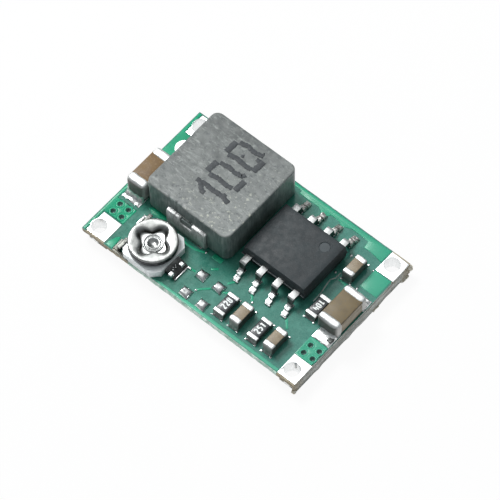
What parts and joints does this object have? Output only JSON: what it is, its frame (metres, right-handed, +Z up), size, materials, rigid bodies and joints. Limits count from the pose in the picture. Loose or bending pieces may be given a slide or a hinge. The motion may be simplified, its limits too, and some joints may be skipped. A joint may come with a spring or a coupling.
{
  "type": "buck converter module",
  "caption": "Small adjustable step-down voltage converter board with a moulded inductor, a converter chip, ceramic capacitors and a turning trimmer.",
  "frame": {"origin": "centre of the board's underside", "axes": "+X along the board's long side towards the output capacitor, +Y across the board towards the edge behind the inductor, +Z up through the parts"},
  "size_m": [0.017, 0.011, 0.0039],
  "materials": {
    "solder_mask": "green solder mask over glass-epoxy laminate",
    "masked_copper": "copper foil under green solder mask",
    "tinned_copper": "hot-air tinned copper",
    "solder": "bright reflowed tin solder",
    "iron_powder": "moulded iron-powder composite, matt",
    "copper_wire": "enamelled copper wire",
    "strap_metal": "tinned copper sheet",
    "chip_epoxy": "moulded black epoxy",
    "lead_metal": "matt tinned lead frame",
    "silicon": "polished silicon",
    "brown_ceramic": "fired layered ceramic",
    "grey_brown_ceramic": "fired layered ceramic",
    "tan_ceramic": "fired layered ceramic",
    "end_metal": "barrel-plated tin",
    "alumina": "fired white alumina",
    "resistor_film": "black glass overcoat",
    "cermet": "fired cermet track",
    "rotor_metal": "polished nickel-plated steel",
    "wiper_alloy": "spring copper alloy"
  },
  "bodies": {
    "module": {"board": "solder_mask", "chip_body": "chip_epoxy", "chip_die": "silicon", "chip_leads": "lead_metal", "chip_paddle": "lead_metal", "chip_solder": "solder", "component_lands": "tinned_copper", "corner_pad_back_left": "tinned_copper", "corner_pad_back_right": "tinned_copper", "corner_pad_front_left": "tinned_copper", "corner_pad_front_right": "tinned_copper", "inductor_body": "iron_powder", "inductor_coil": "copper_wire", "inductor_solder": "solder", "inductor_strap_back": "strap_metal", "inductor_strap_front": "strap_metal", "input_capacitor_body": "brown_ceramic", "input_capacitor_ends": "end_metal", "input_capacitor_solder": "solder", "masked_copper": "masked_copper", "output_capacitor_body": "grey_brown_ceramic", "output_capacitor_ends": "end_metal", "output_capacitor_solder": "solder", "resistor_left_body": "alumina", "resistor_left_ends": "end_metal", "resistor_left_film": "resistor_film", "resistor_right_body": "alumina", "resistor_right_ends": "end_metal", "resistor_right_film": "resistor_film", "resistor_side_body": "alumina", "resistor_side_ends": "end_metal", "resistor_side_film": "resistor_film", "round_pad": "tinned_copper", "small_capacitor_left_body": "tan_ceramic", "small_capacitor_left_ends": "end_metal", "small_capacitor_right_body": "tan_ceramic", "small_capacitor_right_ends": "end_metal", "small_capacitor_side_body": "tan_ceramic", "small_capacitor_side_ends": "end_metal", "small_part_solder": "solder", "trimmer_base": "alumina", "trimmer_eyelet": "rotor_metal", "trimmer_solder": "solder", "trimmer_terminal_back": "strap_metal", "trimmer_terminal_front": "strap_metal", "trimmer_track": "cermet", "trimmer_wiper_terminal": "strap_metal", "vias": "tinned_copper", "voltage_pad_solder": "solder", "voltage_pads": "tinned_copper"},
    "rotor": {"trimmer_rotor": "rotor_metal", "trimmer_wiper": "wiper_alloy"}
  },
  "joints": [
    {"name": "trimmer_turn", "type": "hinge", "parent": "module", "child": "rotor", "pos_m": [-0.00405, -0.00387, 0.002], "axis": [0, 0, 1], "range_deg": [-115, 115]}
  ]
}
